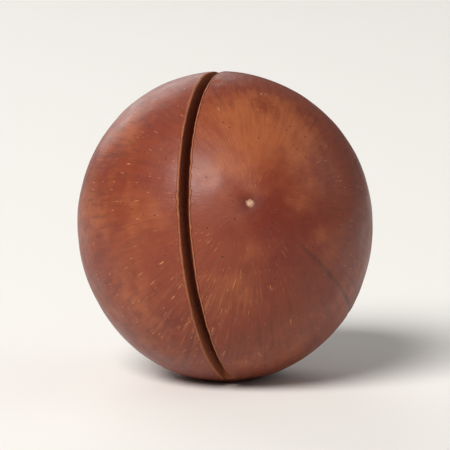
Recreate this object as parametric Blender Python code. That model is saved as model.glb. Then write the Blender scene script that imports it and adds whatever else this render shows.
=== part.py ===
"""Macadamia nut in its shell, sawn with the thin slot from which the shell is levered open.

One solid, in metres, +Z up, resting on a small flat spot at the origin. The nut's own axis runs
from the pore at its tip (the micropyle, in front and a little above the middle) to the scar where
it hung from its stalk (the hilum, at the back). The slot lies in a plane that leans across it.
"""

import math

import bmesh
import bpy
import numpy as np
from mathutils import Matrix, Vector

MM = 0.001

# The shell as a whole
MEAN_RADIUS = 12.1 * MM
SIDE_SQUEEZE = 0.25 * MM  # off the radius at both sides, and onto it above and below
REST_FLAT_DEPTH = 0.28 * MM  # how much of the round underside the flat spot takes away
TIP_TURN = math.radians(9)  # the tip points along -Y, turned this much towards +X
TIP_RISE = math.radians(16)  # and raised this much

# Gentle unevenness: waves across the ball as (height, direction of travel, phase)
WAVES = (
    (0.050 * MM, (2.9, 1.1, -0.7), 0.4),
    (0.045 * MM, (-1.2, 2.6, 1.9), 2.2),
    (0.030 * MM, (3.1, -2.8, 2.4), 4.1),
    (0.022 * MM, (-4.6, 3.3, 3.9), 1.3),
)

# Tip with its pore
TIP_HEIGHT = 0.30 * MM
TIP_SPREAD = math.radians(25)
PORE_DEPTH = 0.20 * MM
PORE_SPREAD = math.radians(2.3)

# Seam from scar to tip, a low keel down one side
SEAM_TURN = math.radians(-38)  # round the axis from the right side, negative is downwards
SEAM_HEIGHT = 0.05 * MM
SEAM_SPREAD = math.radians(9)

# Scar where the nut hung
SCAR_ANGLE = math.radians(22.5)  # from the axis to the scar's edge, seen from the centre
SCAR_FLATNESS = 0.62  # 0 keeps the ball's curve, 1 is a flat plate
SCAR_STEP = 0.12 * MM
SCAR_STEP_ANGLE = math.radians(2.2)
SCAR_LIP_HEIGHT = 0.11 * MM
SCAR_LIP_SPREAD = math.radians(3.0)
SCAR_WOBBLE = ((0.050, 2, 0.6), (0.035, 3, 2.1), (0.022, 5, 4.0))  # share, lobes, phase
SCAR_KNOB_HEIGHT = 0.30 * MM
SCAR_KNOB_SPREAD = math.radians(4.6)
SCAR_PIT_DEPTH = 0.34 * MM
SCAR_PIT_SPREAD = math.radians(1.9)

# Sawn slot: full depth in its middle, running out at both ends along the blade's own curve
SLOT_WIDTH = 0.8 * MM
SLOT_DEPTH = 2.2 * MM
SLOT_OFFSET = 0.44 * MM  # of its plane from the nut's centre
SLOT_TURN = math.radians(16.2)  # the plane's normal is +X, turned this much towards -Y
SLOT_LEAN = math.radians(5.7)  # and raised this much
SLOT_LOWER_END = math.radians(-70)  # below the horizon, in front
SLOT_UPPER_END = math.radians(150)  # over the top and down the back
BLADE_RADIUS = 30 * MM
KERF_REACH = 14 * MM  # how far out the cutting shape goes, past the shell

# Mesh
SEGMENTS = 64
RINGS = 44
POLE_CROWDING = 0.27  # draws the rings towards the tip and the scar
RUN_OUT_STEPS = 7
ARC_STEP = math.radians(6)
WELD_DISTANCE = 0.001 * MM
SHARP_ANGLE = math.radians(40)

SHELL_COLOUR = (0.21, 0.045, 0.017, 1.0)
SHELL_ROUGHNESS = 0.45


def clear_scene():
    for old in list(bpy.data.objects):
        bpy.data.objects.remove(old, do_unlink=True)


def new_collection(name):
    collection = bpy.data.collections.new(name)
    bpy.context.scene.collection.children.link(collection)
    return collection


def bell(angle, spread):
    """1 where the angle is 0, fading to nothing past about twice the spread."""
    return np.exp(-((angle / spread) ** 2))


def smooth_step(share):
    share = np.clip(share, 0, 1)
    return share * share * (3 - 2 * share)


def scar_edge(turn):
    """Angle from the axis to the scar's uneven edge, at each turn round the axis."""
    swing = sum(share * np.cos(lobes * turn + phase) for share, lobes, phase in SCAR_WOBBLE)
    return SCAR_ANGLE * (1 + swing)


def nut_frame():
    """The nut's own axes as columns: right side, upper side and tip."""
    tip = Vector(
        (
            math.sin(TIP_TURN) * math.cos(TIP_RISE),
            -math.cos(TIP_TURN) * math.cos(TIP_RISE),
            math.sin(TIP_RISE),
        )
    )
    right = Vector((math.cos(TIP_TURN), math.sin(TIP_TURN), 0))
    return Matrix((right, tip.cross(right), tip)).transposed()


def shell_radius(ways):
    """Distance from the nut's centre to its surface along unit vectors in the nut's own axes."""
    right, upper, tip = ways.T
    from_tip = np.arccos(np.clip(tip, -1, 1))
    from_scar = math.pi - from_tip
    turn = np.arctan2(upper, right)

    radius = MEAN_RADIUS - SIDE_SQUEEZE * (right**2 - upper**2)
    for height, travel, phase in WAVES:
        radius = radius + height * np.cos(ways @ np.array(travel) + phase)

    radius = radius + TIP_HEIGHT * bell(from_tip, TIP_SPREAD)
    radius = radius - PORE_DEPTH * bell(from_tip, PORE_SPREAD)

    off_seam = np.abs((turn - SEAM_TURN + math.pi) % math.tau - math.pi)
    radius = radius + SEAM_HEIGHT * bell(off_seam * np.sin(from_tip), SEAM_SPREAD)

    edge = scar_edge(turn)
    inside = np.minimum(from_scar, edge)
    plate = np.cos(edge) / np.cos(inside)
    radius = radius * (1 - SCAR_FLATNESS * (1 - plate))
    radius = radius - SCAR_STEP * smooth_step((edge - from_scar) / SCAR_STEP_ANGLE)
    radius = radius + SCAR_LIP_HEIGHT * bell(from_scar - edge, SCAR_LIP_SPREAD)
    radius = radius + SCAR_KNOB_HEIGHT * bell(from_scar, SCAR_KNOB_SPREAD)
    return radius - SCAR_PIT_DEPTH * bell(from_scar, SCAR_PIT_SPREAD)


def crowd_to_poles(ways):
    """Slides points along the meridians, so that rings gather at the tip and follow the scar."""
    right, upper, tip = ways.T
    turn = np.arctan2(upper, right)
    from_scar = math.pi - np.arccos(np.clip(tip, -1, 1))
    from_scar = from_scar - POLE_CROWDING * np.sin(2 * from_scar)
    near_scar = 1 - smooth_step(from_scar / SCAR_ANGLE - 1)
    from_scar = from_scar * (1 + near_scar * (scar_edge(turn) / SCAR_ANGLE - 1))
    across = np.sin(from_scar)
    return np.column_stack((across * np.cos(turn), across * np.sin(turn), -np.cos(from_scar)))


def cut_rest_flat(bm):
    """Slices the underside level and closes the cut with one flat face."""
    lowest = min(vert.co.z for vert in bm.verts)
    bmesh.ops.bisect_plane(
        bm,
        geom=bm.verts[:] + bm.edges[:] + bm.faces[:],
        plane_co=(0, 0, lowest + REST_FLAT_DEPTH),
        plane_no=(0, 0, -1),
        clear_outer=True,
    )
    rim = [edge for edge in bm.edges if edge.is_boundary]
    bmesh.ops.holes_fill(bm, edges=rim, sides=0)


def build_shell(collection):
    """The nut's body, with its mesh round its own centre and its flat spot at the origin."""
    bm = bmesh.new()
    bmesh.ops.create_uvsphere(bm, u_segments=SEGMENTS, v_segments=RINGS, radius=1)
    ways = crowd_to_poles(np.array([vert.co for vert in bm.verts]))
    points = ways * shell_radius(ways)[:, None]
    frame = nut_frame()
    for vert, point in zip(bm.verts, points):
        vert.co = frame @ Vector(point)
    cut_rest_flat(bm)

    mesh = bpy.data.meshes.new("macadamia_nut")
    bm.to_mesh(mesh)
    bm.free()
    corners = np.array([vert.co for vert in mesh.vertices])
    low, high = corners.min(axis=0), corners.max(axis=0)
    middle = (low + high) / 2

    nut = bpy.data.objects.new("macadamia_nut", mesh)
    nut.location = (-middle[0], -middle[1], -low[2])
    collection.objects.link(nut)
    return nut


def slot_floor_radius():
    return MEAN_RADIUS - SLOT_DEPTH


def run_out_angle():
    """Turn from where the blade cuts deepest to where its edge leaves the shell."""
    far = slot_floor_radius() + BLADE_RADIUS
    return math.acos((far**2 + MEAN_RADIUS**2 - BLADE_RADIUS**2) / (2 * far * MEAN_RADIUS))


def blade_arc(centre_turn, side):
    """Points along the blade's edge, from the slot's floor outwards, past the shell."""
    far = slot_floor_radius() + BLADE_RADIUS
    furthest = math.acos((far**2 + BLADE_RADIUS**2 - KERF_REACH**2) / (2 * far * BLADE_RADIUS))
    for step in range(1, RUN_OUT_STEPS + 1):
        swing = furthest * step / RUN_OUT_STEPS
        across = BLADE_RADIUS * math.sin(swing)
        along = far - BLADE_RADIUS * math.cos(swing)
        turn = centre_turn + side * math.atan2(across, along)
        reach = math.hypot(across, along)
        yield reach * math.cos(turn), reach * math.sin(turn)


def arc(radius, start, end):
    steps = max(1, round(abs(end - start) / ARC_STEP))
    for step in range(steps + 1):
        turn = start + (end - start) * step / steps
        yield radius * math.cos(turn), radius * math.sin(turn)


def kerf_outline():
    """The swept blade seen square on: floor, run-outs and an outer arc clear of the shell."""
    first = SLOT_LOWER_END + run_out_angle()
    last = SLOT_UPPER_END - run_out_angle()
    floor = list(arc(slot_floor_radius(), first, last))
    upper = list(blade_arc(last, 1))
    lower = list(blade_arc(first, -1))
    start = math.atan2(upper[-1][1], upper[-1][0])
    end = math.atan2(lower[-1][1], lower[-1][0])
    outer = list(arc(KERF_REACH, start, end))[1:-1]
    return floor + upper + outer + lower[::-1]


def slot_frame():
    """Axes of the slot's plane as columns: front, upwards and the plane's normal."""
    normal = Vector(
        (
            math.cos(SLOT_LEAN) * math.cos(SLOT_TURN),
            -math.cos(SLOT_LEAN) * math.sin(SLOT_TURN),
            math.sin(SLOT_LEAN),
        )
    )
    upwards = (Vector((0, 0, 1)) - normal * normal.z).normalized()
    return Matrix((normal.cross(upwards), upwards, -normal)).transposed()


def build_kerf(collection, nut):
    """The cutting shape of the slot: a flat outline as thick as the saw cut."""
    curve = bpy.data.curves.new("kerf", "CURVE")
    curve.dimensions = "2D"
    curve.fill_mode = "BOTH"
    curve.extrude = SLOT_WIDTH / 2
    outline = kerf_outline()
    spline = curve.splines.new("POLY")
    spline.points.add(len(outline) - 1)
    for point, (x, y) in zip(spline.points, outline):
        point.co = (x, y, 0, 1)
    spline.use_cyclic_u = True
    flat = bpy.data.objects.new("kerf_outline", curve)
    collection.objects.link(flat)

    evaluated = flat.evaluated_get(bpy.context.evaluated_depsgraph_get())
    mesh = bpy.data.meshes.new_from_object(evaluated)
    bpy.data.objects.remove(flat)
    bm = bmesh.new()
    bm.from_mesh(mesh)
    bmesh.ops.remove_doubles(bm, verts=bm.verts[:], dist=WELD_DISTANCE)
    bmesh.ops.recalc_face_normals(bm, faces=bm.faces[:])
    bm.to_mesh(mesh)
    bm.free()

    kerf = bpy.data.objects.new("kerf", mesh)
    frame = slot_frame()
    kerf.matrix_world = Matrix.Translation(
        nut.location - frame.col[2] * SLOT_OFFSET
    ) @ frame.to_4x4()
    kerf.hide_render = True
    kerf.display_type = "WIRE"
    collection.objects.link(kerf)
    return kerf


def saw_slot(nut, kerf):
    cut = nut.modifiers.new("slot", "BOOLEAN")
    cut.operation = "DIFFERENCE"
    cut.solver = "EXACT"
    cut.object = kerf


def shell_material():
    material = bpy.data.materials.new("macadamia_shell")
    material.use_nodes = True
    shader = material.node_tree.nodes["Principled BSDF"]
    shader.inputs["Base Color"].default_value = SHELL_COLOUR
    shader.inputs["Roughness"].default_value = SHELL_ROUGHNESS
    shader.inputs["Metallic"].default_value = 0.0
    return material


def main():
    clear_scene()
    parts = new_collection("macadamia_nut_in_shell")
    cutters = new_collection("cutters")
    nut = build_shell(parts)
    nut.data.materials.append(shell_material())
    nut.data.shade_smooth()
    nut.data.set_sharp_from_angle(angle=SHARP_ANGLE)
    kerf = build_kerf(cutters, nut)
    saw_slot(nut, kerf)


main()
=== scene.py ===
"""Looks of the macadamia nut in its shell: fine shell mesh, shell material, floor, light, camera.

The fine mesh follows the rules of the CAD solid, whose measures are repeated here, and stands in
its place. It is one grid of rows that run round the slot's plane, so the sawn slot, its worn lips
and its walls are rows of the same surface. Metres, +Z up, front towards -Y.

The last word of a marking's value says what it holds. NOISE: the size of its lumps, its detail
and its roughness. GRAIN: how fine it is round the nut's axis and along it, then its detail and
roughness. LIMITS: the two values of its noise between which the marking fades in. EDGE: the two
distances between which it fades, in millimetres, or from the scar's middle in radii of the scar.
STRENGTH: how much it covers, and where there are two, from its weakest to its strongest place.
RAGGED: how far noise moves its edge.
"""

import math

import bpy
import numpy as np
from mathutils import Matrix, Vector, noise


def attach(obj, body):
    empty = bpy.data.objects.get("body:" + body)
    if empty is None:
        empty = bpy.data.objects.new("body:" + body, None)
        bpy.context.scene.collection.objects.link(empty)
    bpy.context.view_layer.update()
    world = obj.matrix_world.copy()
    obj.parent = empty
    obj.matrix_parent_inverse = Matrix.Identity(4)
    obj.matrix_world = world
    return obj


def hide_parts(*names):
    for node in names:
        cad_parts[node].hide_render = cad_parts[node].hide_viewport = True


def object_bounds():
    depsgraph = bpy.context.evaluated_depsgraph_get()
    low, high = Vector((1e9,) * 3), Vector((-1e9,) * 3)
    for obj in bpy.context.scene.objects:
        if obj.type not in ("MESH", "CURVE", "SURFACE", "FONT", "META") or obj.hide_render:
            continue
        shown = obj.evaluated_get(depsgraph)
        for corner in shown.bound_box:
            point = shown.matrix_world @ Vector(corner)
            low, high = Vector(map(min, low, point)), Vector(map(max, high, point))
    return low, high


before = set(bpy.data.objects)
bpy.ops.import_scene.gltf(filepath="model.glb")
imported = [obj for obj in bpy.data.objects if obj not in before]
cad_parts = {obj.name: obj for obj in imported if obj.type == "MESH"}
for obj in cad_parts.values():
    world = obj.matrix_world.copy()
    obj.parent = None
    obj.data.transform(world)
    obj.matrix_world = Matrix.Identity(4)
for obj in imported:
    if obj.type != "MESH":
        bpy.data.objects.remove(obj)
cad_low, cad_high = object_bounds()

NODE = "macadamia_nut"
MM = 0.001

# Measures of the CAD solid
MEAN_RADIUS = 12.1 * MM
SIDE_SQUEEZE = 0.25 * MM
REST_FLAT_DEPTH = 0.28 * MM
TIP_TURN = math.radians(9)
TIP_RISE = math.radians(16)
WAVES = (
    (0.050 * MM, (2.9, 1.1, -0.7), 0.4),
    (0.045 * MM, (-1.2, 2.6, 1.9), 2.2),
    (0.030 * MM, (3.1, -2.8, 2.4), 4.1),
    (0.022 * MM, (-4.6, 3.3, 3.9), 1.3),
)
TIP_HEIGHT = 0.30 * MM
TIP_SPREAD = math.radians(25)
PORE_DEPTH = 0.20 * MM
PORE_SPREAD = math.radians(2.3)
SEAM_TURN = math.radians(-38)
SEAM_HEIGHT = 0.05 * MM
SEAM_SPREAD = math.radians(9)
SCAR_ANGLE = math.radians(22.5)
SCAR_FLATNESS = 0.62
SCAR_STEP = 0.12 * MM
SCAR_STEP_ANGLE = math.radians(2.2)
SCAR_LIP_HEIGHT = 0.11 * MM
SCAR_LIP_SPREAD = math.radians(3.0)
SCAR_WOBBLE = ((0.050, 2, 0.6), (0.035, 3, 2.1), (0.022, 5, 4.0))
SCAR_KNOB_HEIGHT = 0.30 * MM
SCAR_KNOB_SPREAD = math.radians(4.6)
SCAR_PIT_DEPTH = 0.34 * MM
SCAR_PIT_SPREAD = math.radians(1.9)
SLOT_WIDTH = 0.8 * MM
SLOT_DEPTH = 2.2 * MM
SLOT_OFFSET = 0.44 * MM
SLOT_TURN = math.radians(16.2)
SLOT_LEAN = math.radians(5.7)
SLOT_LOWER_END = math.radians(-70)
SLOT_UPPER_END = math.radians(150)
BLADE_RADIUS = 30 * MM

# Grid of the fine mesh
SIDES = (1, -1)  # right and left of the slot's plane, each with a pole of the grid
COLUMNS = 400
CAP_ROWS = 102
CAP_CROWDING = 1.2  # above 1, the rows gather towards the slot
REACH_ROUNDS = 5  # of closing in on the shell from the slot's axis
WALL_STEPS = 8
WALL_CROWDING = 1.4  # above 1, the wall's rows gather towards the lip
CORNER_STEPS = 3
FLOOR_STEPS = 3

# Sawn slot, finer than in the solid
LIP_ROUNDING = 0.08 * MM
FILLET_IN = 0.35  # the floor's rounded corner, as a share of the half width
FILLET_UP = 0.07  # and of the depth
FADE_IN_DEPTH = 0.35 * MM  # of the cut at its ends, over which its profile takes shape
FLOOR_WANDER = (0.06 * MM, 1.4 * MM)  # height and size
LIP_WANDER = (0.03 * MM, 1.7 * MM)
CHIP_DEPTH = 0.13 * MM
CHIP_SIZE = 0.75 * MM
CHIP_LIMIT = 0.28  # noise above this leaves a chip
CHIP_SLOPE = 0.5  # further noise that takes a chip to its full depth
CHIP_REACH = 0.22 * MM  # how far down the wall a chip fades
SAW_MARK = (0.018 * MM, 0.55 * MM)
SAW_MARK_CHANGE = 0.2  # from lip to floor, in mean radii of travel through the marks' noise

# Fine relief: heights with the sizes of their lumps
SWELL = ((0.036 * MM, 3.4 * MM), (0.017 * MM, 1.35 * MM))
DENT_DEPTH = 0.035 * MM
DENT_SPACING = 2.3 * MM
DENT_RADIUS = 0.36 * MM
DENT_LIMIT = 0.45  # cell noise runs from -1 to 1, and leaves a dent below this
DENT_CELLS = 7.3  # cells of noise in a dent's spacing, from which it is drawn
SEAM_GROOVE = 0.05 * MM
SEAM_GROOVE_WIDTH = 0.22 * MM
SEAM_START = math.radians(12)  # from the tip, where the groove begins
SEAM_FULL = math.radians(52)  # and where it has its full depth
FIBRE_HEIGHT = 0.07 * MM
FIBRE_LOBES = 5  # round the scar's middle
FIBRE_STEPS = 7  # along the way out from it
FIBRE_BEND = 0.35
FIBRE_BEND_SIZE = 1.6 * MM
FIBRE_START = math.radians(14)
GRIT_HEIGHT = 0.11 * MM
GRIT_SIZE = 0.6 * MM
RAGGED_HEIGHT = 0.06 * MM  # of the scar's rim
RAGGED_SIZE = 0.7 * MM
RAGGED_SPREAD = math.radians(2.6)
SLOT_FADE = 0.3 * MM  # down the slot, where the relief has ended
REST_SOFTNESS = 0.02 * MM

# Octaves of the mesh's finer noises
OCTAVE_FALL = 0.8  # how fast the octaves weaken
OCTAVE_STEP = 2.1  # how much finer each one is
FIBRE_OCTAVES = 2
GRIT_OCTAVES = 3
RAGGED_OCTAVES = 3

# Shifts that keep the mesh's noises apart
FLOOR_SHIFT = 3.1
LIP_SHIFT = 11.3
CHIP_SHIFT = 27.7
FIBRE_BEND_SHIFT = 2.5
FIBRE_SHIFT = 5.5
GRIT_SHIFT = 8.0
RAGGED_SHIFT = 13.0

# Patches: the way out from the nut's centre to each one's middle, and its spread; the first is
# painted light and the second painted shade
PAINTED_LIGHT_PATCH = ((0.26, -0.67, 0.69), math.radians(22))  # paler and warmer, above the tip
PAINTED_SHADE_PATCH = ((0.44, -0.89, 0.10), math.radians(24))  # deep red, to the right of the tip
FLECKED_TONE = ((-0.12, -0.86, -0.50), math.radians(24))  # more flecks, low beside the slot

# How much each patch adds to the noise of its marking, the painted light and painted shade included
PAINTED_LIGHT_SHARE = 0.38
PAINTED_SHADE_SHARE = 0.20
FLECKED_TONE_SHARE = 0.045

# Broad patches, to which the painted light and painted shade add, and dark streaks that run from tip
# to scar
WARM_NOISE = (5.5 * MM, 3, 0.55)
WARM_LIMITS = (0.48, 0.80)
DARK_NOISE = (3.4 * MM, 4, 0.6)
DARK_SHIFT = (0.31, 0.17, 0.05)
DARK_LIMITS = (0.48, 0.80)
DARK_STRENGTH = 0.85
DARK_STREAK_GRAIN = ((22, 4.5), 4, 0.62)
DARK_STREAK_LIMITS = (0.46, 0.66)
DARK_STREAK_EDGE = (2, 14)  # from the tip
DARK_STREAK_STRENGTH = (0.06, 0.50)

# Flecks, where the grain is over a bar, which is lowest at the scar
FLECK_GRAIN = ((70, 15), 1.5, 0.5)
FLECK_BAR = (0.585, 0.70)
FLECK_BAR_EDGE = (1.0, 4.2)  # from the scar's middle
FLECK_LIMITS = (0.0, 0.035)
FLECK_FADE_NOISE = (1.9 * MM, 2, 0.5)
FLECK_FADE_LIMITS = (0.38, 0.62)
FLECK_STRENGTH = (0.25, 0.85)
PALE_STREAK_GRAIN = ((42, 4), 3, 0.6)
PALE_STREAK_SHIFT = (7, 2, 0)
PALE_STREAK_LIMITS = (0.52, 0.66)
PALE_STREAK_STRENGTH = 0.24

# Fine pores
FINE_PORE_SPACING = 0.55 * MM
FINE_PORE_RADII = (0.09, 0.17)  # of its core and of its edge, in spacings
FINE_PORE_STRENGTH = 0.7
PORE_GROUP_NOISE = (1.1 * MM, 1, 0.5)
PORE_GROUP_LIMITS = (0.55, 0.62)

# Seam and tip
SEAM_LINE_EDGE = (0.06, 0.26)
SEAM_START_EDGE = (3, 9)  # from the tip
SEAM_BREAK_NOISE = (1.6 * MM, 3, 0.5)
SEAM_BREAK_LIMITS = (0.35, 0.6)
SEAM_STRENGTH = (0.25, 0.8)
TIP_NOISE = (0.26 * MM, 3, 0.6)
TIP_RAGGED = 0.42
TIP_RING_EDGE = (0.3, 1.3)
TIP_RING_STRENGTH = 0.45
TIP_DOT_EDGE = (0.08, 0.38)

# Scar's outline and the halo round it
SCAR_NOISE = (0.9 * MM, 5, 0.68)
SCAR_RAGGED = 0.34
SCAR_HALO_EDGE = (0.95, 1.5)
SCAR_HALO_STRENGTH = 0.6
CORK_EDGE = (0.90, 0.99)

# Cork of the scar
BLOTCH_NOISE = (1.0 * MM, 5, 0.7)
BLOTCH_LIMITS = (0.38, 0.62)
CORK_GRAIN = ((8, 3), 5, 0.75)
CORK_GRAIN_SHIFT = (3, 5, 0)
CORK_GRAIN_TWIST = 0.8
CORK_GRAIN_LIMITS = (0.42, 0.60)
CORK_GRAIN_EDGE = (0.25, 0.95)
CORK_GRAIN_STRENGTH = (0.1, 0.75)
CRUMB_NOISE = (0.22 * MM, 3, 0.6)
CRUMB_LIMITS = (0.52, 0.66)
CRUMB_STRENGTH = 0.55
CORK_PIT_SPACING = 0.85 * MM
CORK_PIT_RADII = (0.10, 0.22)  # in spacings
CORK_PIT_ZONE = (0.3, 0.85)  # in radii of the scar
CORK_PIT_ZONE_SOFTNESS = 0.12
CORK_PIT_STRENGTH = 0.85
RIM_EDGE = (0.72, 0.96)
RIM_STRENGTH = 0.75
MIDDLE_RAGGED = 0.14
MIDDLE_EDGE = (0.05, 0.15)
MIDDLE_STRENGTH = 0.9

# Tones of the sawn slot, with painted shade that darkens its walls downwards
LIP_NOISE = (0.45 * MM, 3, 0.6)
LIP_RAGGED = -0.30
LIP_EDGE = (-0.12, -0.03)
LIP_STRENGTH = 0.8
DUST_NOISE = (0.16 * MM, 2, 0.5)
DUST_LIMITS = (0.62, 0.68)
DUST_EDGE = (0.1, 1.3)
DUST_STRENGTH = 0.55
WALL_NOISE = (0.3 * MM, 4, 0.65)
WALL_LIMITS = (0.35, 0.65)
WALL_MOTTLE_STRENGTH = 0.5
WALL_TOP_EDGE = (0.05, 0.35)
WALL_TOP_STRENGTH = 0.75
WALL_SHADE_EDGE = (0.5, 1.7)
CUT_START_EDGE = (0.0, 0.06)

# Gloss
GLOSS_NOISE = (2.2 * MM, 4, 0.6)
GLOSS_LIMITS = (0.3, 0.7)
POLISHED_ROUGHNESS = (0.42, 0.54)
FLECK_ROUGHNESS = 0.15  # added to the polished shell's
DULL_ROUGHNESS = 0.85
COAT_WEIGHT = 0.13
COAT_ROUGHNESS = 0.25
SPECULAR_LEVEL = 0.30

# Bumps, and how much each marking adds to them
DIMPLE_NOISE = (0.55 * MM, 3, 0.55)
FINE_DIMPLE_NOISE = (0.17 * MM, 2, 0.6)
FINE_GRAIN = ((80, 9), 2, 0.5)
STREAK_RELIEF = 0.5
FINE_GRAIN_RELIEF = 0.5
FINE_DIMPLE_RELIEF = 0.35
FINE_PORE_RELIEF = -0.8
FLECK_RELIEF = 0.25
CORK_PIT_RELIEF = -0.7
SHELL_BUMP = 0.030 * MM
SCAR_BUMP = 0.09 * MM

# Colour sockets of Blender's mix node
MIX_INPUTS = (0, 6, 7)  # share, first and second
MIX_RESULT = 2

# Camera and stage
CAMERA_RISE = math.radians(8)
CAMERA_DISTANCE = 0.25
CAMERA_LENS = 250
CAMERA_CLIP = (0.01, 20)
FLOOR_SIZE = 6.0
FLOOR_ROUGHNESS = 0.7
SKY_TINT = (1.0, 0.99, 0.975)
SKY_STRENGTH = 0.17
SOFTBOXES = (  # name, place, size, power and tint
    ("key", (-1.35, -1.95, 2.20), (2.0, 1.6), 135, (1.0, 0.98, 0.955)),
    ("fill", (2.6, 0.4, 1.5), (2.0, 2.0), 9, (1.0, 0.99, 0.98)),
    ("back", (-1.0, 2.6, 1.3), (2.4, 2.0), 26, (1.0, 0.99, 0.98)),
)


def srgb(red, green, blue):
    """Linear colour from the usual 0 to 255 values, by the sRGB curve."""
    shares = (value / 255 for value in (red, green, blue))
    linear = (s / 12.92 if s <= 0.04045 else ((s + 0.055) / 1.055) ** 2.4 for s in shares)
    return (*linear, 1.0)


FLOOR_COLOUR = srgb(236, 234, 230)
CHESTNUT = srgb(121, 51, 28)
# Colour of the random warm patches, and of the painted light above the tip
WARM_AND_PAINTED_LIGHT = srgb(150, 80, 45)
# Colour of the random dark patches, and of the painted shade to the right of the tip
DARK_AND_PAINTED_SHADE = srgb(106, 34, 20)
DARK_STREAK = srgb(92, 37, 22)
FLECK = srgb(182, 122, 78)
FINE_PORE = srgb(46, 18, 12)
SEAM_LINE = srgb(56, 22, 15)
TIP_RING = srgb(84, 32, 20)
TIP_DOT = srgb(206, 166, 134)
SCAR_PALE = srgb(188, 142, 104)
SCAR_BROWN = srgb(130, 82, 54)
SCAR_RIM = srgb(78, 38, 23)
SCAR_PIT = srgb(58, 30, 20)
SCAR_HALO = srgb(148, 84, 48)
CUT_PALE = srgb(156, 91, 58)
CUT_WALL = srgb(158, 94, 62)
# Colour of the walls' mottle, and of the painted shade deep in the slot
CUT_MOTTLE_AND_SHADE = srgb(126, 66, 43)


def bell(angle, spread):
    """1 where the angle is 0, fading to nothing past about twice the spread."""
    return np.exp(-((angle / spread) ** 2))


def smooth_step(share):
    """Goes softly from 0 to 1 as the share does, and stays level beyond both."""
    share = np.clip(share, 0, 1)
    return share * share * (3 - 2 * share)


def nut_axes():
    """The nut's own axes as rows: right side, upper side and tip."""
    tip = np.array(
        (
            math.sin(TIP_TURN) * math.cos(TIP_RISE),
            -math.cos(TIP_TURN) * math.cos(TIP_RISE),
            math.sin(TIP_RISE),
        )
    )
    right = np.array((math.cos(TIP_TURN), math.sin(TIP_TURN), 0))
    return np.array((right, np.cross(tip, right), tip))


def slot_axes():
    """Axes of the slot's plane: front, upwards and the plane's normal."""
    normal = np.array(
        (
            math.cos(SLOT_LEAN) * math.cos(SLOT_TURN),
            -math.cos(SLOT_LEAN) * math.sin(SLOT_TURN),
            math.sin(SLOT_LEAN),
        )
    )
    upwards = np.array((0, 0, 1)) - normal * normal[2]
    upwards = upwards / np.linalg.norm(upwards)
    return np.cross(normal, upwards), upwards, normal


NUT_AXES = nut_axes()
SLOT_FRONT, SLOT_UPWARDS, SLOT_NORMAL = slot_axes()


def polar(ways):
    """Angles from the tip and from the scar, and the turn round the axis, of unit vectors."""
    right, upper, tip = np.moveaxis(ways @ NUT_AXES.T, -1, 0)
    from_tip = np.arccos(np.clip(tip, -1, 1))
    return from_tip, math.pi - from_tip, np.arctan2(upper, right)


def scar_edge(turn):
    """Angle from the axis to the scar's uneven edge, at each turn round the axis."""
    swing = sum(share * np.cos(lobes * turn + phase) for share, lobes, phase in SCAR_WOBBLE)
    return SCAR_ANGLE * (1 + swing)


def off_seam(turn):
    """How far each turn is from the seam's, either way round."""
    return np.abs((turn - SEAM_TURN + math.pi) % math.tau - math.pi)


def shell_radius(ways):
    """Distance from the nut's centre to its surface along unit vectors, as in the solid."""
    in_nut = ways @ NUT_AXES.T
    right, upper, _ = np.moveaxis(in_nut, -1, 0)
    from_tip, from_scar, turn = polar(ways)

    radius = MEAN_RADIUS - SIDE_SQUEEZE * (right**2 - upper**2)
    for height, travel, phase in WAVES:
        radius = radius + height * np.cos(in_nut @ np.array(travel) + phase)

    radius = radius + TIP_HEIGHT * bell(from_tip, TIP_SPREAD)
    radius = radius - PORE_DEPTH * bell(from_tip, PORE_SPREAD)
    radius = radius + SEAM_HEIGHT * bell(off_seam(turn) * np.sin(from_tip), SEAM_SPREAD)

    edge = scar_edge(turn)
    inside = np.minimum(from_scar, edge)
    plate = np.cos(edge) / np.cos(inside)
    radius = radius * (1 - SCAR_FLATNESS * (1 - plate))
    radius = radius - SCAR_STEP * smooth_step((edge - from_scar) / SCAR_STEP_ANGLE)
    radius = radius + SCAR_LIP_HEIGHT * bell(from_scar - edge, SCAR_LIP_SPREAD)
    radius = radius + SCAR_KNOB_HEIGHT * bell(from_scar, SCAR_KNOB_SPREAD)
    return radius - SCAR_PIT_DEPTH * bell(from_scar, SCAR_PIT_SPREAD)


def noise_at(points, size, octaves=1, shift=0.0):
    """Smooth noise from about -1 to 1 at points, whose lumps are as large as size."""
    flat = points.reshape(-1, 3) / size + shift
    if octaves == 1:
        found = [noise.noise(Vector(p)) for p in flat]
    else:
        found = [noise.fractal(Vector(p), OCTAVE_FALL, OCTAVE_STEP, octaves) for p in flat]
    return np.array(found).reshape(points.shape[:-1])


def slot_ring(turn, aside=0.0):
    """Points on a ring round the slot's axis, so that noise read there meets itself."""
    return np.stack((np.cos(turn), np.sin(turn), aside + 0 * turn), axis=-1) * MEAN_RADIUS


def spokes(turn):
    """Unit vectors away from the slot's axis, at each turn round it."""
    return np.cos(turn)[..., None] * SLOT_FRONT + np.sin(turn)[..., None] * SLOT_UPWARDS


def surface_reach(across, turn):
    """Distance from the slot's axis to the shell, at an offset across the slot's plane."""
    reach = np.full(np.broadcast(across, turn).shape, MEAN_RADIUS)
    for _ in range(REACH_ROUNDS):
        points = across[..., None] * SLOT_NORMAL + reach[..., None] * spokes(turn)
        far = np.linalg.norm(points, axis=-1)
        reach = np.sqrt(shell_radius(points / far[..., None]) ** 2 - across**2)
    return reach


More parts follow.
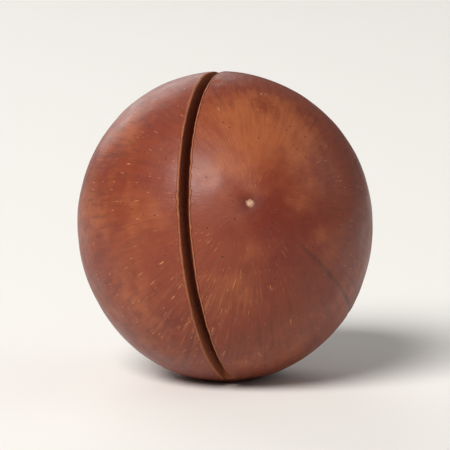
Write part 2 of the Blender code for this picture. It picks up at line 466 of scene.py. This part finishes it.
def slot_floor(turn):
    """Distance from the slot's axis to its floor: level in the middle, then the blade's curve."""
    floor = MEAN_RADIUS - SLOT_DEPTH
    far = floor + BLADE_RADIUS
    run_out = math.acos((far**2 + MEAN_RADIUS**2 - BLADE_RADIUS**2) / (2 * far * MEAN_RADIUS))
    first, last = SLOT_LOWER_END + run_out, SLOT_UPPER_END - run_out
    off_middle = np.abs((turn - (first + last) / 2 + math.pi) % math.tau - math.pi)
    beyond = np.clip(off_middle - (last - first) / 2, 0, math.pi / 2)
    aside = far * np.sin(beyond)
    in_blade = np.sqrt(np.maximum(BLADE_RADIUS**2 - aside**2, 0))
    return np.where(aside < BLADE_RADIUS, far * np.cos(beyond) - in_blade, far)


def slot_profile():
    """Half of the slot's cross-section from lip to floor: share of half width, share of depth."""
    lip_out, lip_down = 2 * LIP_ROUNDING / SLOT_WIDTH, LIP_ROUNDING / SLOT_DEPTH
    bends = [math.pi / 2 * step / CORNER_STEPS for step in range(CORNER_STEPS + 1)]
    lip = [(1 + lip_out * (1 - math.sin(b)), lip_down * (1 - math.cos(b))) for b in bends]
    foot = [(1 - FILLET_IN * (1 - math.cos(b)), 1 - FILLET_UP * (1 - math.sin(b))) for b in bends]
    wall_run = 1 - FILLET_UP - lip_down
    wall = [
        (1.0, lip_down + wall_run * (step / WALL_STEPS) ** WALL_CROWDING)
        for step in range(1, WALL_STEPS)
    ]
    floor = [((1 - FILLET_IN) * (1 - step / FLOOR_STEPS), 1.0) for step in range(1, FLOOR_STEPS)]
    return lip + wall + foot + floor


def lip_wear(turn, side):
    """How far the lip on one side has worn back: a slow wander with small chips."""
    height, size = LIP_WANDER
    wander = height * noise_at(slot_ring(turn), size, shift=LIP_SHIFT * side)
    chip = noise_at(slot_ring(turn), CHIP_SIZE, shift=CHIP_SHIFT * side)
    chip = np.clip((chip - CHIP_LIMIT) / CHIP_SLOPE, 0, 1)
    return wander + CHIP_DEPTH * chip


def slot_rows(turn):
    """Rows from the right lip down, across the floor and up to the left lip.

    Each row's depth comes with them, and how far the cut has begun at each turn.
    """
    half_profile = slot_profile()
    profile = half_profile + [(0.0, 1.0)] + [(-a, d) for a, d in reversed(half_profile)]
    middle_reach = surface_reach(np.full_like(turn, SLOT_OFFSET), turn)
    depth = np.maximum(middle_reach - slot_floor(turn), 0)
    cut = smooth_step(depth / FADE_IN_DEPTH)
    height, size = FLOOR_WANDER
    depth = depth + cut * height * noise_at(slot_ring(turn), size, shift=FLOOR_SHIFT)
    wear = {side: lip_wear(turn, side) for side in SIDES}
    mark_height, mark_size = SAW_MARK

    rows, all_down = [], []
    widest = profile[0][0]
    for index, (share, down) in enumerate(profile):
        even = widest * (1 - 2 * index / (len(profile) - 1))
        side = 1 if share >= 0 else -1
        across = (even + (share - even) * cut) * SLOT_WIDTH / 2
        near_lip = np.exp(-down * depth / CHIP_REACH) * min(abs(share), 1)
        across = across + side * cut * near_lip * wear[side]
        if 0 < down < 1:
            ring = slot_ring(turn, side * (1 - SAW_MARK_CHANGE * down))
            across = across + side * cut * mark_height * noise_at(ring, mark_size)
        across = across + SLOT_OFFSET
        reach = surface_reach(across, turn) - down * depth
        rows.append(across[..., None] * SLOT_NORMAL + reach[..., None] * spokes(turn))
        all_down.append(down * depth)
    return np.array(rows), np.array(all_down), cut


def cap_rows(lip, side, turn):
    """Rows over one side of the shell, from next to the lip to next to the pole."""
    lift = np.arcsin(lip @ SLOT_NORMAL / np.linalg.norm(lip, axis=-1))
    shares = (np.arange(1, CAP_ROWS + 1) / (CAP_ROWS + 1)) ** CAP_CROWDING
    lifts = lift + (side * math.pi / 2 - lift) * shares[:, None]
    ways = np.sin(lifts)[..., None] * SLOT_NORMAL + np.cos(lifts)[..., None] * spokes(turn)
    return ways * shell_radius(ways)[..., None]


def dents(points):
    """A few shallow round dents, 0 to 1."""
    depths = []
    for point in points / DENT_SPACING:
        distances, places = noise.voronoi(Vector(point))
        chosen = noise.cell(places[0] * DENT_CELLS) < DENT_LIMIT
        off = distances[0] * DENT_SPACING / DENT_RADIUS
        depths.append(math.exp(-(off**2)) if chosen else 0.0)
    return np.array(depths)


def seam_groove(from_tip, turn):
    """Depth of the fine groove on the seam, which begins a little way out from the tip."""
    aside = off_seam(turn) * np.sin(from_tip) * MEAN_RADIUS
    begun = smooth_step((from_tip - SEAM_START) / (SEAM_FULL - SEAM_START))
    return SEAM_GROOVE * begun * bell(aside, SEAM_GROOVE_WIDTH)


def scar_relief(points, from_scar, turn):
    """Bent fibres, grit and a ragged rim."""
    edge = scar_edge(turn)
    inside = smooth_step((edge - from_scar) / SCAR_STEP_ANGLE)
    bent = turn + FIBRE_BEND * noise_at(points, FIBRE_BEND_SIZE, shift=FIBRE_BEND_SHIFT)
    fibre_space = np.stack(
        (np.cos(bent) * FIBRE_LOBES, np.sin(bent) * FIBRE_LOBES, from_scar * FIBRE_STEPS), axis=-1
    )
    fibres = noise_at(fibre_space, 1.0, FIBRE_OCTAVES, FIBRE_SHIFT)
    grit = noise_at(points, GRIT_SIZE, GRIT_OCTAVES, GRIT_SHIFT)
    fade = smooth_step(from_scar / FIBRE_START)
    ragged = noise_at(points, RAGGED_SIZE, RAGGED_OCTAVES, RAGGED_SHIFT)
    rim = RAGGED_HEIGHT * ragged * bell(from_scar - edge, RAGGED_SPREAD)
    return rim + inside * (FIBRE_HEIGHT * fibres * fade + GRIT_HEIGHT * grit)


def fine_relief(points, ways):
    """Height to add along the way out from the nut's centre."""
    from_tip, from_scar, turn = polar(ways)
    height = sum(size * noise_at(points, span, shift=span / MM) for size, span in SWELL)
    height = height - DENT_DEPTH * dents(points) - seam_groove(from_tip, turn)
    return height + scar_relief(points, from_scar, turn)


def rest_on_floor(points):
    """Moves the shell so that its box matches the solid's, and levels the spot it rests on."""
    low, high = points.min(axis=0), points.max(axis=0)
    middle = (low + high) / 2
    points = points - (middle[0], middle[1], low[2] + REST_FLAT_DEPTH)
    rise = points[:, 2]
    points[:, 2] = (rise + np.sqrt(rise**2 + REST_SOFTNESS**2)) / 2
    return points


def grid_faces(row_count, first):
    """Quads between neighbouring rows of a closed grid, whose first vertex has index first."""
    row = np.arange(row_count - 1)[:, None] * COLUMNS + first
    column = np.arange(COLUMNS)[None, :]
    after = (column + 1) % COLUMNS
    corners = (row + column, row + after, row + COLUMNS + after, row + COLUMNS + column)
    return np.stack(np.broadcast_arrays(*corners), axis=-1).reshape(-1, 4).tolist()


def pole_faces(pole, first, side):
    """Triangles from the pole on one side to the ring of vertices that starts at index first."""
    faces = []
    for column in range(COLUMNS):
        here, after = first + column, first + (column + 1) % COLUMNS
        faces.append((pole, after, here) if side > 0 else (pole, here, after))
    return faces


def shell_faces(row_count):
    """All faces, facing out. The poles are the first vertices, and the rows follow."""
    first = len(SIDES)
    last = first + (row_count - 1) * COLUMNS
    faces = grid_faces(row_count, first)
    for pole, (rim, side) in enumerate(zip((first, last), SIDES)):
        faces += pole_faces(pole, rim, side)
    return faces


def lay_out_shell():
    """Lays out the grid.

    Gives its points, poles first, its number of rows, and each point's depth in the slot and way
    to the slot's lips.
    """
    turn = np.arange(COLUMNS) * math.tau / COLUMNS
    inner, down, cut = slot_rows(turn)
    right_cap = cap_rows(inner[0], 1, turn)[::-1]
    left_cap = cap_rows(inner[-1], -1, turn)
    poles = np.array([side * SLOT_NORMAL for side in SIDES])
    poles = poles * shell_radius(poles)[:, None]
    rows = np.concatenate((right_cap, inner, left_cap))
    points = np.concatenate((poles, rows.reshape(-1, 3)))

    right_gap = np.linalg.norm(right_cap - inner[0], axis=-1)
    left_gap = np.linalg.norm(left_cap - inner[-1], axis=-1)
    lip_far = np.concatenate((right_gap, 0 * down, left_gap)) + (1 - cut) * MEAN_RADIUS
    cut_down = np.concatenate((0 * right_gap, down, 0 * left_gap))
    at_poles = np.full(len(SIDES), MEAN_RADIUS)
    lip_far = np.concatenate((at_poles, lip_far.ravel()))
    cut_down = np.concatenate((0 * at_poles, cut_down.ravel()))
    return points, len(rows), cut_down, lip_far


def tone_near(ways, tone):
    """How near each way is to the middle of a patch of tone, 0 to 1."""
    middle, spread = tone
    middle = np.array(middle) / np.linalg.norm(middle)
    return bell(np.arccos(np.clip(ways @ middle, -1, 1)), spread)


def add_values(mesh, name, values):
    attribute = mesh.attributes.new(name, "FLOAT", "POINT")
    attribute.data.foreach_set("value", np.ascontiguousarray(values, dtype=np.float32))


def add_vectors(mesh, name, vectors):
    attribute = mesh.attributes.new(name, "FLOAT_VECTOR", "POINT")
    attribute.data.foreach_set("vector", np.ascontiguousarray(vectors, dtype=np.float32).ravel())


def add_material_values(mesh, ways, cut_down, lip_far):
    """Gives the mesh what its material reads, with lengths in millimetres."""
    from_tip, from_scar, turn = polar(ways)
    add_values(mesh, "cut_down", cut_down / MM)
    add_values(mesh, "lip_far", lip_far / MM)
    add_values(mesh, "scar_way", from_scar / scar_edge(turn))
    add_values(mesh, "tip_far", from_tip * MEAN_RADIUS / MM)
    add_values(mesh, "seam_far", off_seam(turn) * np.sin(from_tip) * MEAN_RADIUS / MM)
    # Painted light: a paler, warmer patch above the tip
    add_values(mesh, "painted_light_patch", tone_near(ways, PAINTED_LIGHT_PATCH))
    # Painted shade: a deep red patch to the right of the tip
    add_values(mesh, "painted_shade_patch", tone_near(ways, PAINTED_SHADE_PATCH))
    add_values(mesh, "flecked_tone", tone_near(ways, FLECKED_TONE))
    add_vectors(mesh, "meridian", np.stack((np.cos(turn), np.sin(turn), from_tip), axis=-1))


def build_shell():
    """The whole nut as one closed mesh, with its fine relief and what its material reads."""
    points, row_count, cut_down, lip_far = lay_out_shell()
    ways = points / np.linalg.norm(points, axis=-1)[:, None]
    on_shell = 1 - smooth_step(cut_down / SLOT_FADE)
    points = points + ways * (fine_relief(points, ways) * on_shell)[:, None]
    points = rest_on_floor(points)

    mesh = bpy.data.meshes.new("macadamia_shell")
    mesh.from_pydata(points.tolist(), [], shell_faces(row_count))
    add_material_values(mesh, ways, cut_down, lip_far)
    mesh.shade_smooth()
    shell = bpy.data.objects.new("macadamia_shell", mesh)
    bpy.context.scene.collection.objects.link(shell)
    return shell


class Nodes:
    """Short ways to add and join a material's shader nodes."""

    def __init__(self, name):
        self.material = bpy.data.materials.new(name)
        self.material.use_nodes = True
        self.tree = self.material.node_tree
        self.shader = self.tree.nodes["Principled BSDF"]
        self.place = self.tree.nodes.new("ShaderNodeTexCoord").outputs["Object"]
        self.meridian = self.attribute("meridian", "Vector")

    def put(self, socket, value):
        """Joins an output to a socket, or sets the socket to a plain value."""
        if hasattr(value, "is_linked"):
            self.tree.links.new(value, socket)
        else:
            socket.default_value = value

    def attribute(self, name, output="Fac"):
        node = self.tree.nodes.new("ShaderNodeAttribute")
        node.attribute_name = name
        return node.outputs[output]

    def maths(self, operation, *values):
        node = self.tree.nodes.new("ShaderNodeMath")
        node.operation = operation
        for socket, value in zip(node.inputs, values):
            self.put(socket, value)
        return node.outputs[0]

    def times(self, *values):
        product = values[0]
        for value in values[1:]:
            product = self.maths("MULTIPLY", product, value)
        return product

    def plus(self, base, extra, share=1.0):
        """Base plus a share of extra."""
        return self.maths("MULTIPLY_ADD", extra, share, base)

    def noise(self, vector, scale, detail, roughness, distortion=0.0):
        node = self.tree.nodes.new("ShaderNodeTexNoise")
        self.put(node.inputs["Vector"], vector)
        node.inputs["Scale"].default_value = scale
        node.inputs["Detail"].default_value = detail
        node.inputs["Roughness"].default_value = roughness
        node.inputs["Distortion"].default_value = distortion
        return node.outputs["Fac"]

    def lumps(self, size, detail, roughness, shift=(0, 0, 0)):
        """Noise over the shell with lumps of about this size, around 0.5."""
        return self.noise(self.stretch(self.place, (1, 1, 1), shift), 1 / size, detail, roughness)

    def ragged(self, size, detail, roughness):
        """Noise over the shell around 0, which breaks up an edge."""
        return self.maths("SUBTRACT", self.lumps(size, detail, roughness), 0.5)

    def strands(self, fineness, detail, roughness, shift=(0, 0, 0), distortion=0.0):
        """Noise drawn out from tip to scar, as fine as given round the nut's axis and along it."""
        round_axis, along = fineness
        scale = (round_axis, round_axis, along)
        return self.noise(self.stretch(self.meridian, scale, shift), 1, detail, roughness, distortion)

    def stretch(self, vector, scale, shift):
        node = self.tree.nodes.new("ShaderNodeMapping")
        self.put(node.inputs["Vector"], vector)
        node.inputs["Scale"].default_value = scale
        node.inputs["Location"].default_value = shift
        return node.outputs["Vector"]

    def spots(self, spacing, radii):
        """Round spots about this far apart: 1 in the core, 0 past the edge, radii in spacings."""
        node = self.tree.nodes.new("ShaderNodeTexVoronoi")
        self.put(node.inputs["Vector"], self.place)
        node.inputs["Scale"].default_value = 1 / spacing
        return self.fall(node.outputs["Distance"], radii)

    def rise(self, value, limits, least=0.0, most=1.0):
        """Goes softly from least, up to the lower limit, to most, from the upper limit on."""
        node = self.tree.nodes.new("ShaderNodeMapRange")
        node.interpolation_type = "SMOOTHSTEP"
        self.put(node.inputs["Value"], value)
        node.inputs["From Min"].default_value = limits[0]
        node.inputs["From Max"].default_value = limits[1]
        node.inputs["To Min"].default_value = least
        node.inputs["To Max"].default_value = most
        return node.outputs["Result"]

    def fall(self, value, limits, most=1.0):
        """Goes softly from most, up to the lower limit, to 0, from the upper limit on."""
        return self.rise(value, limits, most, 0.0)

    def between(self, value, limits, soft):
        """1 while a value lies between two limits, with soft ends."""
        low, high = limits
        above = self.rise(value, (low - soft, low + soft))
        return self.times(above, self.fall(value, (high - soft, high + soft)))

    def mix(self, share, first, second):
        """Colour that goes from the first to the second as the share goes from 0 to 1."""
        node = self.tree.nodes.new("ShaderNodeMix")
        node.data_type = "RGBA"
        for index, value in zip(MIX_INPUTS, (share, first, second)):
            self.put(node.inputs[index], value)
        return node.outputs[MIX_RESULT]

    def bump(self, height, distance, before=None):
        node = self.tree.nodes.new("ShaderNodeBump")
        node.inputs["Distance"].default_value = distance
        self.put(node.inputs["Height"], height)
        if before:
            self.put(node.inputs["Normal"], before)
        return node.outputs["Normal"]


def paint_tones(n):
    """Brown with broad patches, a paler patch of painted light above the tip, painted shade to its
    right, and grain that runs tip to scar.
    """
    # Painted light: the paler, warmer patch above the tip, added to random warm patches
    warm = n.plus(n.lumps(*WARM_NOISE), n.attribute("painted_light_patch"), PAINTED_LIGHT_SHARE)
    colour = n.mix(n.rise(warm, WARM_LIMITS), CHESTNUT, WARM_AND_PAINTED_LIGHT)
    # Painted shade: the deep red patch to the right of the tip, added to random dark patches
    dark = n.lumps(*DARK_NOISE, shift=DARK_SHIFT)
    dark = n.plus(dark, n.attribute("painted_shade_patch"), PAINTED_SHADE_SHARE)
    colour = n.mix(n.rise(dark, DARK_LIMITS, most=DARK_STRENGTH), colour, DARK_AND_PAINTED_SHADE)
    grain = n.strands(*DARK_STREAK_GRAIN)
    streaks = n.rise(grain, DARK_STREAK_LIMITS)
    away_from_tip = n.rise(n.attribute("tip_far"), DARK_STREAK_EDGE, *DARK_STREAK_STRENGTH)
    return n.mix(n.times(streaks, away_from_tip), colour, DARK_STREAK), grain


def paint_flecks(n, colour):
    """Pale flecks along the grain, thicker towards the scar, and faint streaks in one patch."""
    flecked = n.attribute("flecked_tone")
    strands = n.plus(n.strands(*FLECK_GRAIN), flecked, FLECKED_TONE_SHARE)
    bar = n.rise(n.attribute("scar_way"), FLECK_BAR_EDGE, *FLECK_BAR)
    over_bar = n.rise(n.maths("SUBTRACT", strands, bar), FLECK_LIMITS)
    strength = n.rise(n.lumps(*FLECK_FADE_NOISE), FLECK_FADE_LIMITS, *FLECK_STRENGTH)
    flecks = n.times(over_bar, strength)
    colour = n.mix(flecks, colour, FLECK)
    grain = n.strands(*PALE_STREAK_GRAIN, shift=PALE_STREAK_SHIFT)
    streaks = n.rise(grain, PALE_STREAK_LIMITS, most=PALE_STREAK_STRENGTH)
    return n.mix(n.times(streaks, flecked), colour, FLECK), flecks


def paint_pores(n, colour):
    """Fine dark pores in loose groups."""
    grouped = n.rise(n.lumps(*PORE_GROUP_NOISE), PORE_GROUP_LIMITS)
    pores = n.times(n.spots(FINE_PORE_SPACING, FINE_PORE_RADII), grouped)
    return n.mix(n.times(pores, FINE_PORE_STRENGTH), colour, FINE_PORE), pores


def paint_seam(n, colour):
    """A broken dark line, about 0.3 mm wide, that begins some millimetres out from the tip."""
    broken = n.rise(n.lumps(*SEAM_BREAK_NOISE), SEAM_BREAK_LIMITS, *SEAM_STRENGTH)
    near = n.fall(n.attribute("seam_far"), SEAM_LINE_EDGE)
    begun = n.rise(n.attribute("tip_far"), SEAM_START_EDGE)
    return n.mix(n.times(near, broken, begun), colour, SEAM_LINE)


def paint_tip(n, colour):
    """The pore at the tip: a darker ring round a ragged pale dot about 0.5 mm across."""
    far = n.plus(n.attribute("tip_far"), n.ragged(*TIP_NOISE), TIP_RAGGED)
    colour = n.mix(n.fall(far, TIP_RING_EDGE, TIP_RING_STRENGTH), colour, TIP_RING)
    return n.mix(n.fall(far, TIP_DOT_EDGE), colour, TIP_DOT)


def paint_cork(n, way):
    """The scar's own colour, with short fibres, crumbs and pits, and the height of its relief."""
    scar_way = n.attribute("scar_way")
    blotches = n.lumps(*BLOTCH_NOISE)
    cork = n.mix(n.rise(blotches, BLOTCH_LIMITS), SCAR_PALE, SCAR_BROWN)
    fibres = n.strands(*CORK_GRAIN, shift=CORK_GRAIN_SHIFT, distortion=CORK_GRAIN_TWIST)
    towards_rim = n.rise(scar_way, CORK_GRAIN_EDGE, *CORK_GRAIN_STRENGTH)
    cork = n.mix(n.times(n.rise(fibres, CORK_GRAIN_LIMITS), towards_rim), cork, SCAR_BROWN)
    crumbs = n.lumps(*CRUMB_NOISE)
    cork = n.mix(n.rise(crumbs, CRUMB_LIMITS, most=CRUMB_STRENGTH), cork, SCAR_RIM)
    pit_zone = n.between(scar_way, CORK_PIT_ZONE, CORK_PIT_ZONE_SOFTNESS)
    pits = n.times(n.spots(CORK_PIT_SPACING, CORK_PIT_RADII), pit_zone)
    cork = n.mix(n.times(pits, CORK_PIT_STRENGTH), cork, SCAR_PIT)
    cork = n.mix(n.rise(way, RIM_EDGE, most=RIM_STRENGTH), cork, SCAR_RIM)
    middle = n.plus(scar_way, n.ragged(*CRUMB_NOISE), MIDDLE_RAGGED)
    cork = n.mix(n.fall(middle, MIDDLE_EDGE, MIDDLE_STRENGTH), cork, SCAR_PIT)
    return cork, n.plus(n.plus(n.plus(fibres, blotches), crumbs), pits, CORK_PIT_RELIEF)


def paint_scar(n, colour):
    """Corky scar with a ragged rim, and a warm halo on the shell round it."""
    way = n.plus(n.attribute("scar_way"), n.ragged(*SCAR_NOISE), SCAR_RAGGED)
    colour = n.mix(n.fall(way, SCAR_HALO_EDGE, SCAR_HALO_STRENGTH), colour, SCAR_HALO)
    cork, relief = paint_cork(n, way)
    scar = n.fall(way, CORK_EDGE)
    return n.mix(scar, colour, cork), scar, relief


def paint_slot(n, colour):
    """Sawn slot: broken pale lips with a little dust, and brown walls with painted shade that darkens
    them downwards.
    """
    lip_far, cut_down = n.attribute("lip_far"), n.attribute("cut_down")
    lips = n.fall(n.plus(lip_far, n.lumps(*LIP_NOISE), LIP_RAGGED), LIP_EDGE, LIP_STRENGTH)
    colour = n.mix(lips, colour, CUT_PALE)
    dust = n.rise(n.lumps(*DUST_NOISE), DUST_LIMITS)
    colour = n.mix(n.times(dust, n.fall(lip_far, DUST_EDGE, DUST_STRENGTH)), colour, CUT_PALE)

    mottle = n.rise(n.lumps(*WALL_NOISE), WALL_LIMITS, most=WALL_MOTTLE_STRENGTH)
    wall = n.mix(mottle, CUT_WALL, CUT_MOTTLE_AND_SHADE)
    wall = n.mix(n.fall(cut_down, WALL_TOP_EDGE, WALL_TOP_STRENGTH), wall, CUT_PALE)
    # Painted shade: the walls darken deeper in the slot
    wall = n.mix(n.rise(cut_down, WALL_SHADE_EDGE), wall, CUT_MOTTLE_AND_SHADE)
    cut = n.rise(cut_down, CUT_START_EDGE)
    return n.mix(cut, colour, wall), n.maths("MAXIMUM", cut, lips)


def set_gloss(n, dull, flecks):
    """The shell is polished, the scar and the sawn faces are dull."""
    polished = n.rise(n.lumps(*GLOSS_NOISE), GLOSS_LIMITS, *POLISHED_ROUGHNESS)
    polished = n.plus(polished, flecks, FLECK_ROUGHNESS)
    roughness = n.maths("MAXIMUM", polished, n.times(dull, DULL_ROUGHNESS))
    n.put(n.shader.inputs["Roughness"], roughness)
    n.put(n.shader.inputs["Coat Weight"], n.times(n.maths("SUBTRACT", 1.0, dull), COAT_WEIGHT))
    n.shader.inputs["Coat Roughness"].default_value = COAT_ROUGHNESS
    n.shader.inputs["Specular IOR Level"].default_value = SPECULAR_LEVEL


def set_bumps(n, grain, flecks, pores, scar_relief, dull):
    """Fine dimples and fibres all over, and the coarser cork of the scar."""
    height = n.lumps(*DIMPLE_NOISE)
    for marking, share in (
        (grain, STREAK_RELIEF),
        (n.strands(*FINE_GRAIN), FINE_GRAIN_RELIEF),
        (n.lumps(*FINE_DIMPLE_NOISE), FINE_DIMPLE_RELIEF),
        (pores, FINE_PORE_RELIEF),
        (flecks, FLECK_RELIEF),
    ):
        height = n.plus(height, marking, share)
    shell = n.bump(height, SHELL_BUMP)
    n.put(n.shader.inputs["Normal"], n.bump(n.times(scar_relief, dull), SCAR_BUMP, shell))


def shell_material():
    """Polished brown shell with its flecks, tip pore, seam, dull scar and sawn slot."""
    n = Nodes("macadamia_shell")
    colour, grain = paint_tones(n)
    colour, flecks = paint_flecks(n, colour)
    colour, pores = paint_pores(n, colour)
    colour = paint_seam(n, colour)
    colour = paint_tip(n, colour)
    colour, scar, scar_relief = paint_scar(n, colour)
    colour, sawn = paint_slot(n, colour)
    n.put(n.shader.inputs["Base Color"], colour)
    dull = n.maths("MAXIMUM", scar, sawn)
    set_gloss(n, dull, flecks)
    set_bumps(n, grain, flecks, pores, scar_relief, dull)
    return n.material


def aim(thing, target):
    """Turns a lamp or camera to look at the target."""
    thing.rotation_mode = "QUATERNION"
    thing.rotation_quaternion = (thing.location - target).to_track_quat("Z", "Y")


def add_softbox(name, place, size, power, tint, target):
    light = bpy.data.lights.new(name, "AREA")
    light.shape = "ELLIPSE"
    light.size, light.size_y = size
    light.energy = power
    light.color = tint
    lamp = bpy.data.objects.new(name, light)
    lamp.location = place
    aim(lamp, target)
    bpy.context.scene.collection.objects.link(lamp)


def floor_material():
    material = bpy.data.materials.new("floor")
    material.use_nodes = True
    shader = material.node_tree.nodes["Principled BSDF"]
    shader.inputs["Base Color"].default_value = FLOOR_COLOUR
    shader.inputs["Roughness"].default_value = FLOOR_ROUGHNESS
    return material


def add_stage(target):
    """A plain pale floor, a dim even sky and the softboxes."""
    bpy.ops.mesh.primitive_plane_add(size=FLOOR_SIZE)
    floor = bpy.context.object
    floor.name = "floor"
    floor.data.materials.append(floor_material())

    world = bpy.data.worlds.new("studio")
    world.use_nodes = True
    sky = world.node_tree.nodes["Background"]
    sky.inputs["Color"].default_value = (*SKY_TINT, 1.0)
    sky.inputs["Strength"].default_value = SKY_STRENGTH
    bpy.context.scene.world = world
    for name, place, size, power, tint in SOFTBOXES:
        add_softbox(name, place, size, power, tint, target)


def add_camera(target):
    camera = bpy.data.objects.new("camera", bpy.data.cameras.new("camera"))
    back = Vector((0, -math.cos(CAMERA_RISE), math.sin(CAMERA_RISE)))
    camera.location = target + back * CAMERA_DISTANCE
    aim(camera, target)
    camera.data.lens = CAMERA_LENS
    camera.data.clip_start, camera.data.clip_end = CAMERA_CLIP
    bpy.context.scene.collection.objects.link(camera)
    bpy.context.scene.camera = camera


def main():
    shell = build_shell()
    shell.data.materials.append(shell_material())
    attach(shell, "root")
    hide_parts(NODE)
    target = Vector((0, 0, (cad_low[2] + cad_high[2]) / 2))
    add_stage(target)
    add_camera(target)
    bpy.context.scene.view_settings.view_transform = "Standard"


main()
